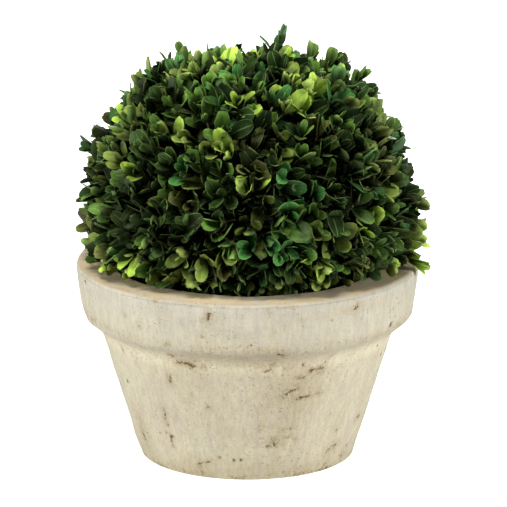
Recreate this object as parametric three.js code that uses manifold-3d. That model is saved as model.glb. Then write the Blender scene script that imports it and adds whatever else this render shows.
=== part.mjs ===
// A box shrub clipped to a ball, growing in a thick limewashed clay pot.
// Millimetres, +Z up. The origin is the centre of the pot's flat underside, and the front faces -Y.
// The shrub is one short stem that forks into boughs. Each bough carries twigs, and each twig ends in pairs
// of leaves that stand crosswise to the pair before. The clipped ball is dense, so its middle is a solid core.
import * as THREE from "three";
import { mergeVertices } from "three/addons/utils/BufferGeometryUtils.js";
import Module from "manifold-3d";

const wasm = await Module();
wasm.setup();

// The pot: a low, thick-walled flower pot with a heavy band round its mouth. The band swells a little, its lower
// corner is rounded off, and a hollow rounding leads from its underside into the wall below.
const POT_HEIGHT = 125;
const BAND_TOP_RADIUS = 107.8;
const BAND_SWELL_RADIUS = 107;
const BAND_SWELL_HEIGHT = 110;
const BAND_FOOT_CENTRE = [97.7, 95.2];
const BAND_FOOT_ROUND = 6.4;
const SHOULDER_CENTRE = [104.65, 74.6];
const SHOULDER_ROUND = 14;
const FOOT_RADIUS = 67.6;
const FOOT_ROUND = 1;
const LIP_ROUND = 2.5;
const FLOOR_THICKNESS = 14;

// The inside of the pot: the mouth, a slight bend in the wall, and the floor's edge.
const MOUTH_RADIUS = 85;
const BEND_RADIUS = 75;
const BEND_HEIGHT = 71.5;
const FLOOR_RADIUS = 56;
const POT_SIDES = 64;
const ROUND_STEPS = 3;

// The potting soil lies a little below the lip.
const SOIL_TOP = 108;
const SEAT_GAP = 0.3;

// The stem, from the soil up to the fork that is hidden inside the ball.
const STEM_FOOT_RADIUS = 11;
const STEM_RADIUS = 7;
const STEM_TOP = 120;
const STEM_LEAN = 0.08;
const STEM_SIDES = 16;

// The clipped ball, with its centre a little to the right of the pot's axis. Its outline has broad low lumps,
// twigs fall short of it by chance up to the roughness, and low down at the two sides it spreads over the lip.
// Its shoulders stand out a little at the two sides too, and its crown is slightly flattened.
const BALL_CENTRE = new THREE.Vector3(1.8, 0, 161.5);
const BALL_RADIUS = 108;
const BALL_LUMP = 2;
const BALL_ROUGHNESS = 4;
const SIDE_SPREAD = 5;
const SIDE_SPREAD_FROM = 0.3;
const SHOULDER_SPREAD = 4;
const SHOULDER_RISE = 0.43;
const SHOULDER_WIDTH = 0.2;
const CROWN_DROP = 4;
const CROWN_FROM = 0.7;
const CORE_RADIUS = 84;
const CORE_DETAIL = 3;
const CORE_UNDERSIDE = 122;
const POT_CLEARANCE = 0.8;

// The fork where the boughs part, the boughs inside the core, and the twigs they carry.
const SEED = 20;
const FORK_HEIGHT = 138;
const FORK_RADIUS = 5.5;
const BOUGH_COUNT = 13;
const BOUGH_REACH = 0.5;
const TWIG_COUNT = 118;
const TWIG_TIP_RADIUS = 1.7;
const TWIG_BASE_RADIUS = 2.4;
const TWIG_SIDES = 3;
const LOWEST_TWIG = -0.5;
const TWIG_JITTER = 0.07;

// Leaves: blunt ovals, larger than life because there are fewer of them than on the shrub. They grow in pairs,
// and the spread is the angle in degrees that a pair opens away from its twig.
const LEAF_LENGTH = 26;
const LEAF_WIDTH = 15;
const LEAF_THICKNESS = 1.2;
const LEAF_WIDEST = 0.58;
const LEAF_BLUNT = 0.2;
const LEAF_RIDGE = 0.35;
const LEAF_ROOT_SUNK = 0.3;
const PAIRS_ON_TWIG = 2;
const PAIR_GAP = 6;
const PAIR_SPREAD_TIP = 36;
const PAIR_SPREAD_STEP = 30;
const PAIR_SPREAD_JITTER = 9;
const PAIR_TURN_JITTER = 0.3;
const TURNS_TRIED = 4;
const LEAF_LENGTH_JITTER = 0.14;

// Leaves that missed the shears and stand out of the outline, as [turn round the ball, rise above its middle,
// distance of the tip from its centre], in degrees and millimetres. The turn is 0 to the right, -90 in front.
const STRAYS = [
  [52, 74, 115.5],
  [178, 19, 116],
  [176, 2, 110.5],
  [-14, -16.5, 121],
  [-5, -12, 116],
  [3, 0, 114.5],
  [13, 48, 113],
  [157, 63, 113],
];

const CLAY = new THREE.MeshStandardMaterial({ color: 0xd8cdb2, roughness: 0.9, metalness: 0 });
const SOIL = new THREE.MeshStandardMaterial({ color: 0x2a1e15, roughness: 1, metalness: 0 });
const BARK = new THREE.MeshStandardMaterial({ color: 0x6d5a3f, roughness: 0.85, metalness: 0 });
const LEAF = new THREE.MeshStandardMaterial({ color: 0x3d5a24, roughness: 0.55, metalness: 0 });

const ALONG = new THREE.Vector3(0, 1, 0);
const UP = new THREE.Vector3(0, 0, 1);
const RIGHT = new THREE.Vector3(1, 0, 0);
const GOLDEN_TURN = Math.PI * (3 - Math.sqrt(5));
const { degToRad } = THREE.MathUtils;

// A small seeded generator: the same numbers between 0 and 1 on every run.
function seededRandom(seed) {
  let state = seed >>> 0;
  return () => {
    state = (state + 0x6d2b79f5) >>> 0;
    let mixed = Math.imul(state ^ (state >>> 15), 1 | state);
    mixed = (mixed + Math.imul(mixed ^ (mixed >>> 7), 61 | mixed)) ^ mixed;
    return ((mixed ^ (mixed >>> 14)) >>> 0) / 4294967296;
  };
}

const random = seededRandom(SEED);
const spreadAround = (amount) => amount * (2 * random() - 1);

// A closed three.js geometry as a solid that can be cut and joined.
function toSolid(geometry) {
  const bare = geometry.clone();
  bare.deleteAttribute("normal");
  bare.deleteAttribute("uv");
  const merged = mergeVertices(bare, 1e-4);
  const vertProperties = new Float32Array(merged.attributes.position.array);
  const triVerts = new Uint32Array(merged.index.array);
  return new wasm.Manifold(new wasm.Mesh({ numProp: 3, vertProperties, triVerts }));
}

// A solid as a three.js geometry again.
function toGeometry(solid) {
  const mesh = solid.getMesh();
  const geometry = new THREE.BufferGeometry();
  geometry.setAttribute("position", new THREE.BufferAttribute(new Float32Array(mesh.vertProperties), 3));
  geometry.setIndex(new THREE.BufferAttribute(new Uint32Array(mesh.triVerts), 1));
  geometry.computeVertexNormals();
  return geometry;
}

// Points on the arc that rounds a corner between two directions, in degrees.
function roundCorner(centreRadius, centreHeight, round, fromAngle, toAngle) {
  return Array.from({ length: ROUND_STEPS + 1 }, (_, step) => {
    const angle = degToRad(fromAngle + ((toAngle - fromAngle) * step) / ROUND_STEPS);
    return new THREE.Vector2(centreRadius + round * Math.cos(angle), centreHeight + round * Math.sin(angle));
  });
}

// A profile of [radius, height] points turned about the pot's axis.
function turned(profile, sides) {
  return new THREE.LatheGeometry(profile, sides).rotateX(Math.PI / 2);
}

// The pot's inner wall from the lip's rounding down to the floor.
function innerWall() {
  return [
    new THREE.Vector2(MOUTH_RADIUS, POT_HEIGHT - LIP_ROUND),
    new THREE.Vector2(BEND_RADIUS, BEND_HEIGHT),
    new THREE.Vector2(FLOOR_RADIUS, FLOOR_THICKNESS),
  ];
}

function potGeometry() {
  const outer = [
    new THREE.Vector2(0, 0),
    ...roundCorner(FOOT_RADIUS - FOOT_ROUND, FOOT_ROUND, FOOT_ROUND, -90, 0),
    ...roundCorner(...SHOULDER_CENTRE, SHOULDER_ROUND, 162, 132),
    ...roundCorner(...BAND_FOOT_CENTRE, BAND_FOOT_ROUND, -48, -5),
    new THREE.Vector2(BAND_SWELL_RADIUS, BAND_SWELL_HEIGHT),
    ...roundCorner(BAND_TOP_RADIUS - LIP_ROUND, POT_HEIGHT - LIP_ROUND, LIP_ROUND, 0, 90),
    ...roundCorner(MOUTH_RADIUS + LIP_ROUND, POT_HEIGHT - LIP_ROUND, LIP_ROUND, 90, 165),
  ];
  return turned([...outer, ...innerWall(), new THREE.Vector2(0, FLOOR_THICKNESS)], POT_SIDES);
}

// The radius inside the pot's wall at a height.
function innerRadius(height) {
  const wall = innerWall();
  const [high, low] = height > wall[1].y ? [wall[0], wall[1]] : [wall[1], wall[2]];
  return low.x + ((high.x - low.x) * (height - low.y)) / (high.y - low.y);
}

function soilGeometry() {
  const floor = FLOOR_THICKNESS + SEAT_GAP;
  const bend = innerWall()[1].y;
  const fill = (height) => new THREE.Vector2(innerRadius(height) - SEAT_GAP, height);
  const profile = [new THREE.Vector2(0, floor), fill(floor), fill(bend), fill(SOIL_TOP)];
  return turned([...profile, new THREE.Vector2(0, SOIL_TOP)], POT_SIDES);
}

// The stem flares at the soil and leans a little; its foot and its top are level cuts.
function stemGeometry() {
  const foot = SOIL_TOP + SEAT_GAP;
  const rise = STEM_TOP - foot;
  const flare = Array.from({ length: 5 }, (_, step) => {
    const share = step / 4;
    const radius = STEM_RADIUS + (STEM_FOOT_RADIUS - STEM_RADIUS) * (1 - share) ** 2;
    return new THREE.Vector2(radius, share * rise);
  });
  const geometry = turned([new THREE.Vector2(0, 0), ...flare, new THREE.Vector2(0, rise)], STEM_SIDES);
  geometry.applyMatrix4(new THREE.Matrix4().makeShear(0, 0, 0, 0, STEM_LEAN, 0));
  return geometry.translate(BALL_CENTRE.x - STEM_LEAN * rise, 0, foot);
}

// A straight tapering limb between two points.
function limb(from, to, fromRadius, toRadius, sides) {
  const along = to.clone().sub(from);
  const geometry = new THREE.CylinderGeometry(toRadius, fromRadius, along.length(), sides, 1);
  geometry.applyQuaternion(new THREE.Quaternion().setFromUnitVectors(ALONG, along.normalize()));
  const middle = from.clone().add(to).multiplyScalar(0.5);
  return toSolid(geometry.translate(middle.x, middle.y, middle.z));
}

// A leaf along +X with its upper face to +Z: a flat blunt oval of five corners under one low ridge point.
function leafGeometry(length, width) {
  const corners = [
    [0, 0, 0],
    [LEAF_WIDEST * length, -width / 2, 0],
    [length, -LEAF_BLUNT * width, 0],
    [length, LEAF_BLUNT * width, 0],
    [LEAF_WIDEST * length, width / 2, 0],
  ];
  const ridge = [LEAF_RIDGE * length, 0, LEAF_THICKNESS];
  const upper = corners.flatMap((_, k) => [corners.length, k, (k + 1) % corners.length]);
  const lower = [1, 4, 0, 1, 3, 4, 1, 2, 3].toReversed();
  const geometry = new THREE.BufferGeometry();
  geometry.setAttribute("position", new THREE.Float32BufferAttribute([...corners, ridge].flat(), 3));
  return geometry.setIndex([...upper, ...lower]);
}

// A leaf whose root is sunk at a point, growing in a direction, with its upper face turned to the twig's tip.
function leafSolid(root, direction, twigDirection, length) {
  const across = new THREE.Vector3().crossVectors(twigDirection, direction).normalize();
  const face = new THREE.Vector3().crossVectors(direction, across);
  const start = root.clone().addScaledVector(direction, -LEAF_ROOT_SUNK);
  const placed = new THREE.Matrix4().makeBasis(direction, across, face).setPosition(start);
  return toSolid(leafGeometry(length, (LEAF_WIDTH * length) / LEAF_LENGTH).applyMatrix4(placed));
}

// Directions spread evenly over the ball from its top down to a lowest height, each turned a little by chance.
function directionsOver(count, lowest, jitter) {
  return Array.from({ length: count }, (_, k) => {
    const height = 1 - ((k + 0.5) / count) * (1 - lowest);
    const level = Math.sqrt(1 - height * height);
    const turn = k * GOLDEN_TURN;
    const even = [level * Math.cos(turn), level * Math.sin(turn), height];
    return new THREE.Vector3(...even.map((value) => value + spreadAround(jitter))).normalize();
  });
}

// How far foliage may stand from the ball's centre: to the clipped outline, or where that is lower than the
// lip, to the top of the lip or to the space inside the mouth.
function reachAlong(direction) {
  const lump = Math.sin(5 * direction.x + 2) * Math.sin(4 * direction.y + 1) * Math.cos(4 * direction.z);
  const lowness = Math.min(1, Math.max(0, -direction.z / SIDE_SPREAD_FROM));
  const highness = Math.min(1, Math.max(0, (direction.z - CROWN_FROM) / (1 - CROWN_FROM)));
  const shoulder = Math.exp(-(((direction.z - SHOULDER_RISE) / SHOULDER_WIDTH) ** 2));
  const spread = (SIDE_SPREAD * lowness + SHOULDER_SPREAD * shoulder) * direction.x ** 2;
  const outline = BALL_RADIUS + BALL_LUMP * lump + spread - CROWN_DROP * highness;
  if (direction.z >= 0) return outline;
  const toLip = (BALL_CENTRE.z - POT_HEIGHT - POT_CLEARANCE) / -direction.z;
  const toWall = (MOUTH_RADIUS - LIP_ROUND) / Math.hypot(direction.x, direction.y);
  const toSoil = (BALL_CENTRE.z - SOIL_TOP - POT_CLEARANCE) / -direction.z;
  return Math.min(outline, Math.max(toLip, Math.min(toWall, toSoil)));
}

const atReach = (direction, distance) => BALL_CENTRE.clone().addScaledVector(direction, distance);

// The space that foliage keeps out of: the pot and the soil, with a little room round them.
function keepOut() {
  const profile = [
    new THREE.Vector2(0, 0),
    new THREE.Vector2(BAND_TOP_RADIUS, 0),
    new THREE.Vector2(BAND_TOP_RADIUS + POT_CLEARANCE, POT_HEIGHT + POT_CLEARANCE),
    new THREE.Vector2(MOUTH_RADIUS - POT_CLEARANCE, POT_HEIGHT + POT_CLEARANCE),
    new THREE.Vector2(innerRadius(SOIL_TOP) - POT_CLEARANCE, SOIL_TOP + POT_CLEARANCE),
    new THREE.Vector2(0, SOIL_TOP + POT_CLEARANCE),
  ];
  return toSolid(turned(profile, POT_SIDES));
}

// The core: a ball with a level underside, and the short stem that carries it.
function coreSolids() {
  const ball = new THREE.IcosahedronGeometry(CORE_RADIUS, CORE_DETAIL);
  ball.translate(BALL_CENTRE.x, BALL_CENTRE.y, BALL_CENTRE.z);
  const places = ball.attributes.position;
  for (let k = 0; k < places.count; k += 1) {
    places.setZ(k, Math.max(places.getZ(k), CORE_UNDERSIDE));
  }
  const stemTip = new THREE.Vector3(BALL_CENTRE.x, 0, STEM_TOP + SEAT_GAP);
  const fork = new THREE.Vector3(BALL_CENTRE.x, 0, FORK_HEIGHT);
  return [toSolid(ball), limb(stemTip, fork, STEM_RADIUS, FORK_RADIUS, STEM_SIDES)];
}

// How far a leaf can grow from a point in a direction before its tip leaves a ball round the centre.
function lengthInside(from, direction, reach) {
  const offset = from.clone().sub(BALL_CENTRE);
  const along = offset.dot(direction);
  return Math.sqrt(along * along + reach * reach - offset.lengthSq()) - along;
}

// The pairs of leaves at the end of a twig: each pair stands crosswise to the last and opens wider.
function leavesOn(tip, twigDirection, tipReach, pairs) {
  const side = new THREE.Vector3().crossVectors(twigDirection, Math.abs(twigDirection.z) < 0.9 ? UP : RIGHT);
  side.normalize().applyAxisAngle(twigDirection, 2 * Math.PI * random());
  const leaves = [];
  for (let pair = 0; pair < pairs; pair += 1) {
    const node = tip.clone().addScaledVector(twigDirection, -pair * PAIR_GAP);
    for (const half of [0, Math.PI]) {
      const turn = half + (pair * Math.PI) / 2 + spreadAround(PAIR_TURN_JITTER);
      const outward = side.clone().applyAxisAngle(twigDirection, turn);
      const open = PAIR_SPREAD_TIP + pair * PAIR_SPREAD_STEP + spreadAround(PAIR_SPREAD_JITTER);
      const angle = degToRad(open);
      const direction = twigDirection.clone().multiplyScalar(Math.cos(angle));
      direction.addScaledVector(outward, Math.sin(angle)).normalize();
      const wanted = LEAF_LENGTH * (1 + spreadAround(LEAF_LENGTH_JITTER));
      const length = Math.min(wanted, lengthInside(node, direction, tipReach));
      const middle = node.clone().addScaledVector(direction, length / 2);
      leaves.push({ middle, solid: leafSolid(node, direction, twigDirection, length) });
    }
  }
  return leaves;
}

// How far the tips of a twig's last pair of leaves stand beyond the twig.
const LEAF_RISE = LEAF_LENGTH * Math.cos(degToRad(PAIR_SPREAD_TIP));

const meets = (one, other) => !one.intersect(other).isEmpty();

// The whole foliage: the core, then twig by twig. A twig is left out where it would meet the pot, and a leaf
// where it would meet the pot, another twig or another twig's leaf. A twig tries a few turns and takes the
// fullest. The boughs lie inside the core, so only their ends count, where the twigs start.
function foliageGeometry() {
  const boughEnds = directionsOver(BOUGH_COUNT, LOWEST_TWIG, TWIG_JITTER).map((direction) =>
    atReach(direction, BOUGH_REACH * BALL_RADIUS),
  );
  const twigDirections = directionsOver(TWIG_COUNT, LOWEST_TWIG, TWIG_JITTER);
  const nearestBough = (place) =>
    boughEnds.reduce((best, end) => (end.distanceTo(place) < best.distanceTo(place) ? end : best));
  const taken = keepOut();
  const twigs = [];
  const leaves = [];
  const isClear = (leaf) => {
    const near = leaves.filter((other) => other.middle.distanceTo(leaf.middle) < 1.2 * LEAF_LENGTH);
    return ![taken, ...near.map((other) => other.solid), ...twigs].some((other) => meets(leaf.solid, other));
  };
  const grow = (direction, tipReach, pairs) => {
    const start = nearestBough(atReach(direction, BALL_RADIUS));
    const tip = atReach(direction, tipReach - LEAF_RISE);
    const along = tip.clone().sub(start).normalize();
    const beyond = tip.clone().addScaledVector(along, TWIG_TIP_RADIUS);
    const wood = limb(start, beyond, TWIG_BASE_RADIUS, TWIG_TIP_RADIUS, TWIG_SIDES);
    const tries = Array.from({ length: TURNS_TRIED }, () => leavesOn(tip, along, tipReach, pairs));
    const fullest = tries
      .map((tried) => tried.filter(isClear))
      .reduce((best, tried) => (tried.length > best.length ? tried : best));
    if (fullest.length === 0 || meets(wood, taken)) return;
    twigs.push(wood);
    leaves.push(...fullest);
  };
  for (const [turn, rise, reach] of STRAYS) {
    const direction = new THREE.Vector3(Math.cos(degToRad(turn)), Math.sin(degToRad(turn)), 0);
    direction.multiplyScalar(Math.cos(degToRad(rise))).setZ(Math.sin(degToRad(rise)));
    grow(direction, reach, 1);
  }
  for (const direction of twigDirections) {
    grow(direction, reachAlong(direction) - BALL_ROUGHNESS * random(), PAIRS_ON_TWIG);
  }
  const solids = [...coreSolids(), ...twigs, ...leaves.map((leaf) => leaf.solid)];
  return toGeometry(largestPiece(wasm.Manifold.union(solids)));
}

// The one joined body, without the odd scrap that touched nothing.
function largestPiece(solid) {
  return solid.decompose().reduce((best, piece) => (piece.volume() > best.volume() ? piece : best));
}

const shrub = new THREE.Group();
const nodes = [
  ["pot", potGeometry(), CLAY],
  ["soil", soilGeometry(), SOIL],
  ["main_stem", stemGeometry(), BARK],
  ["foliage_ball", foliageGeometry(), LEAF],
];
for (const [name, geometry, material] of nodes) {
  const mesh = new THREE.Mesh(geometry, material);
  mesh.name = name;
  shrub.add(mesh);
}

export default shrub;
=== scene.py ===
"""A box shrub clipped to a ball, in a low clay pot with a worn limewash.

The script is laid out as an add-on: settings, one operator for each group of pieces, and a sidebar panel.
Lengths are in metres. The pot stands on the origin, and the camera in front of it looks along +Y.
"""

import math

import bpy
import numpy as np
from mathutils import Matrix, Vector


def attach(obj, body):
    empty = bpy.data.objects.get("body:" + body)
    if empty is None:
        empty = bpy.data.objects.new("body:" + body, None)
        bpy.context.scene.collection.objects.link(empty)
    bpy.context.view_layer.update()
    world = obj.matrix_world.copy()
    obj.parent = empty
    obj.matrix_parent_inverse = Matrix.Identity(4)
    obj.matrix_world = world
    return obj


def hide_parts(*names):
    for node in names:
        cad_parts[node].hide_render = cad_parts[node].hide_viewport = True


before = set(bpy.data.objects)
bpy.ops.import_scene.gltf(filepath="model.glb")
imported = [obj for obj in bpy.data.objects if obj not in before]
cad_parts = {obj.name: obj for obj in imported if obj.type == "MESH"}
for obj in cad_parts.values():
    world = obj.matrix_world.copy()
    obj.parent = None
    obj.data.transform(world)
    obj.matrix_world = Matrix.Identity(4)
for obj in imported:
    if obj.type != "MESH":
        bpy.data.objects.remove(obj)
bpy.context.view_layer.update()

bl_info = {
    "name": "Potted box ball",
    "version": (1, 0, 0),
    "blender": (4, 5, 0),
    "location": "View3D > Sidebar > Box ball",
    "description": "Grows a clipped box ball in a limewashed clay pot",
    "category": "Add Mesh",
}

MM = 0.001
BODY = "root"

# The pot's profile, as on the solid.
POT_HEIGHT = 125 * MM
BAND_TOP_RADIUS = 107.8 * MM
BAND_SWELL = (107 * MM, 110 * MM)
BAND_FOOT_CENTRE = (97.7 * MM, 95.2 * MM)
BAND_FOOT_ROUND = 6.4 * MM
SHOULDER_CENTRE = (104.65 * MM, 74.6 * MM)
SHOULDER_ROUND = 14 * MM
FOOT_RADIUS = 67.6 * MM
FOOT_ROUND = 1 * MM
LIP_ROUND = 2.5 * MM
MOUTH_RADIUS = 85 * MM
# The inside of the pot, upwards, as points of radius and height.
INNER_WALL = [(56 * MM, 14 * MM), (75 * MM, 71.5 * MM), (MOUTH_RADIUS, POT_HEIGHT - LIP_ROUND)]
CORNER_POINTS = 9
BAND_POINTS = 13
# The small hole that a turned surface leaves at the axis.
AXIS_GAP = 0.5 * MM
MARK_DEPTH = 0.45 * MM

# The soil, the stem and the clipped ball, as on the solids.
SOIL_TOP = 108 * MM
SEAT_GAP = 0.3 * MM
STEM_FOOT_RADIUS = 11 * MM
STEM_RADIUS = 7 * MM
STEM_TOP = 120 * MM
STEM_LEAN = 0.08
BALL_CENTRE = np.array([1.8, 0.0, 161.5]) * MM
BALL_RADIUS = 108 * MM
BALL_LUMP = 2 * MM
SIDE_SPREAD = 5 * MM
SIDE_SPREAD_FROM = 0.3
SHOULDER_SPREAD = 4 * MM
SHOULDER_RISE = 0.43
SHOULDER_WIDTH = 0.2
CROWN_DROP = 4 * MM
CROWN_FROM = 0.7
POT_CLEARANCE = 0.8 * MM
SEED = 20
FORK_HEIGHT = 138 * MM
FORK_RADIUS = 5.5 * MM
BOUGH_COUNT = 13
BOUGH_REACH = 0.5
TWIG_COUNT = 118
TWIG_REACH = 0.68
# Limbs: radius at the start and the end, how far they bend, points along, sides and seed.
BOUGHS = ((FORK_RADIUS, 3 * MM), 2.2 * MM, 12, 12, 3)
TWIGS = ((2.4 * MM, 1.3 * MM), 2 * MM, 7, 7, 4)
SPRIGS = ((1.1 * MM, 0.55 * MM), 1 * MM, 6, 5, 5)
LOWEST_TWIG = -0.5
TWIG_JITTER = 0.07
GOLDEN_TURN = math.pi * (3 - math.sqrt(5))

# Sprigs that stand out of the outline, some of them over the lip or at the shoulders: turn and rise in
# degrees, and reach in millimetres.
STRAYS = [
    (52, 74, 115.5), (178, 19, 116), (176, 2, 110.5), (-14, -16.5, 121), (-5, -12, 116),
    (3, 0, 114.5), (13, 48, 113), (157, 63, 113), (-26, -18.5, 107), (-82, -18, 110.5),
    (-150, -17, 110), (-167, -16, 112), (-131, -18, 109), (-112, -18.5, 108), (-60, -18.5, 108),
    (-41, -17.5, 111), (20, -17, 110), (57, -18, 109), (88, -17, 110), (121, -18, 109),
    (152, -17, 110), (25, 58, 113.5), (31, 63, 111), (20, 53, 112.5), (146, 52, 113),
    (-2, -7, 113),
]

# Pairs of leaves down a sprig: millimetres below its tip, opening angle in degrees and length in millimetres.
PAIRS = [(0, 17, 15.5), (4.5, 28, 20.5), (9.5, 38, 22), (15.5, 48, 22), (22, 60, 19), (29, 68, 19)]
# How many pairs, from the tip, need a leaf's whole outline.
NEAR_PAIRS = 2
# Stations along a leaf from stalk to tip, and its width at each as a share of the widest.
LEAF_STATIONS = [
    (0.0, 0.07), (0.08, 0.16), (0.25, 0.58), (0.45, 0.88),
    (0.65, 1.0), (0.83, 0.86), (0.95, 0.52), (0.985, 0.2),
]
# The stations that are enough for leaves deep inside.
PLAIN_STATIONS = [0, 2, 4, 6]
ALL_STATIONS = list(range(len(LEAF_STATIONS)))
# Places across a leaf as shares of its half width: margin, blade, midrib, blade and margin.
LEAF_PLACES = [-1.0, -0.9, -0.06, 0.06, 0.9, 1.0]
LEAF_THICKNESS = 0.3 * MM
# The leaves of a sprig that stands out are closed up, and shorter further down.
STRAY_CLOSED = 0.45
STRAY_SHORTENED = 0.7
# Small shortfalls of a sprig are commoner than large ones, and low sprigs fall short by a smaller share.
SHORTFALL_POWER = 1.4
LOW_SHORTFALL = ([-0.35, 0.0], [0.2, 1.0])
# Sprigs lean down at the foot of the ball and up above it.
SPRIG_RISE = ([-0.3, 0.1], [-0.15, 0.3])
# Chance in the leaves: a sprig's lean, a leaf's turn round it, opening in degrees, roll and slide along it,
# how many millimetres it may pass the outline or stay below, and the spread of its size.
SPRIG_LEAN = 0.28
LEAF_TURN = 0.22
LEAF_OPENING = 13
LEAF_ROLL = 0.42
LEAF_SLIDE = 1.2 * MM
LEAF_OVERSHOOT = (-3, 2)
LENGTH_SPREAD = 0.2
WIDTH_SPREAD = 0.15
# How far a leaf bends back and folds up, as mean and spread, its margin turns down and its tip is notched.
LEAF_BEND = (0.10, 0.10)
LEAF_FOLD = (0.30, 0.16)
MARGIN_DROP = 0.105
TIP_NOTCH = 0.03
SHORTEST_LEAF = 8 * MM
# Room between a leaf and the pot or the soil, and more room above the lip in front.
LEAF_GAP = 0.5 * MM
LIP_GAP = 3.0 * MM
# How far below the outline the painted shade on leaves reaches its darkest.
SHADE_DEPTH = 20 * MM
# Strips of faces along a leaf: the places on either side, where 6 is the ridge underneath, and the material,
# a paler one for margin and midrib.
FACE, RIB, UNDERSIDE = 0, 1, 2
LEAF_STRIPS = [
    (0, 1, RIB), (1, 2, FACE), (2, 3, RIB), (3, 4, FACE), (4, 5, RIB),
    (5, 6, UNDERSIDE), (6, 0, UNDERSIDE),
]


# Settings


def count_setting(name, description, default, least):
    return bpy.props.IntProperty(name=name, description=description, default=default, min=least)


def colour_setting(name, description, default):
    return bpy.props.FloatVectorProperty(name=name, description=description, default=default, subtype="COLOR")


def number_setting(name, description, default, unit="NONE"):
    return bpy.props.FloatProperty(name=name, description=description, default=default, min=0, unit=unit)


class PotSettings(bpy.types.PropertyGroup):
    """Detail and colours of the pot."""

    sides: count_setting("Sides", "Facets round the pot", 540, 32)
    step: number_setting("Step", "Height of a row of facets", 1.1 * MM, "LENGTH")
    unevenness: number_setting("Unevenness", "How far the wall strays from a true round", 0.45 * MM, "LENGTH")
    pit_count: count_setting("Pits", "Small pits in the wall", 110, 0)
    wash: colour_setting("Limewash", "Colour of the wash", (0.92, 0.825, 0.597))
    wash_shade: colour_setting("Thin wash", "Colour where the wash is thin", (0.76, 0.635, 0.425))
    blush: colour_setting("Blush", "Pinkish clay showing through", (0.75, 0.62, 0.475))
    chalk: colour_setting("Chalk", "Greyer white that the rim band turns to", (0.71, 0.65, 0.53))
    stain: colour_setting("Stain", "Tan staining, most of it near the foot", (0.58, 0.455, 0.255))
    lip: colour_setting("Lip", "Sandy colour on top of the lip", (0.78, 0.61, 0.36))
    clay: colour_setting("Bare clay", "Colour in pits and scratches", (0.13, 0.068, 0.024))


class ShrubSettings(bpy.types.PropertyGroup):
    """Detail and colours of the shrub and its soil."""

    sprig_count: count_setting("Sprigs", "Leafy shoots on the ball", 590, 1)
    roughness: number_setting("Roughness", "How far a sprig may fall short of the outline", 13 * MM, "LENGTH")
    leaf_ratio: number_setting("Leaf width", "Width of a leaf as a share of its length", 0.45)
    bark: colour_setting("Bark", "Colour of old wood", (0.19, 0.135, 0.075))
    young_wood: colour_setting("Young wood", "Colour of sprigs", (0.33, 0.33, 0.13))
    soil: colour_setting("Soil", "Colour of the potting soil", (0.03, 0.018, 0.011))
    grain: colour_setting("Grains", "Colour of the pale grains in the soil", (0.2, 0.14, 0.09))


class StudioSettings(bpy.types.PropertyGroup):
    """The floor and the lights."""

    floor_colour: colour_setting("Floor", "Colour of the floor", (0.9, 0.9, 0.9))
    ambient: number_setting("Ambient", "Light from all round", 0.03)
    key_power: number_setting("Key", "Light from above the ball", 34.0, "POWER")
    side_power: number_setting("Sides", "Light from each side", 27.0, "POWER")
    fill_power: number_setting("Fill", "Light from low in front", 0.5, "POWER")
    back_power: number_setting("Back", "Light from behind", 22.0, "POWER")
    below_power: number_setting("Below", "Light that comes up from the pale floor", 12.5, "POWER")


SETTINGS = {
    "box_ball_pot": PotSettings,
    "box_ball_shrub": ShrubSettings,
    "box_ball_studio": StudioSettings,
}


# Shader maths

# The inputs of a node that mixes two colours, by number, and its output.
MIX_SHARE, MIX_FIRST, MIX_SECOND, MIXED = 0, 6, 7, 2


class Wire:
    """An output socket, so that shader maths on it reads as plain Python."""

    def __init__(self, tree, socket):
        self.tree = tree
        self.socket = socket

    def node(self, kind, values, output=0, **settings):
        """Add a node with its settings and the values or links of its sockets, and return one output."""
        added = self.tree.nodes.new("ShaderNode" + kind)
        for name, value in settings.items():
            setattr(added, name, value)
        for name, value in values.items():
            if isinstance(value, Wire):
                self.tree.links.new(value.socket, added.inputs[name])
            else:
                added.inputs[name].default_value = value
        return Wire(self.tree, added.outputs[output])

    def maths(self, operation, first, second):
        return self.node("Math", {0: first, 1: second}, operation=operation)

    def __add__(self, other):
        return self.maths("ADD", self, other)

    def __mul__(self, other):
        return self.maths("MULTIPLY", self, other)

    def __sub__(self, other):
        return self.maths("SUBTRACT", self, other)

    def __rsub__(self, other):
        return self.maths("SUBTRACT", other, self)

    __radd__ = __add__
    __rmul__ = __mul__

    def drawn_up(self, share):
        """This vector with its height shrunk to a share, which draws a pattern on it upwards."""
        return self.node("VectorMath", {0: self, 1: (1, 1, share)}, operation="MULTIPLY")

    def between(self, low, high):
        """A smooth step from 0 at low to 1 at high."""
        limits = {"Value": self, "From Min": low, "From Max": high}
        return self.node("MapRange", limits, interpolation_type="SMOOTHSTEP")

    def noise(self, scale, detail=3.0, roughness=0.5):
        """Soft noise, 0 to 1, at places along this vector."""
        values = {"Vector": self, "Scale": scale, "Detail": detail, "Roughness": roughness}
        return self.node("TexNoise", values)

    def cells(self, scale):
        """Distance to the nearest of scattered points."""
        return self.node("TexVoronoi", {"Vector": self, "Scale": scale})

    def blend(self, kind, other, share):
        values = {MIX_SHARE: share, MIX_FIRST: self, MIX_SECOND: other}
        return self.node("Mix", values, MIXED, data_type="RGBA", blend_type=kind)

    def mix(self, colour, share):
        """This colour turning into a plain one by a share from 0 to 1."""
        return self.blend("MIX", opaque(colour), share)

    def times(self, value):
        """This colour made lighter or darker by a value."""
        grey = self.node("CombineColor", {"Red": value, "Green": value, "Blue": value})
        return self.blend("MULTIPLY", grey, 1.0)


def opaque(colour):
    return (*colour[:3], 1.0)


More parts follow.
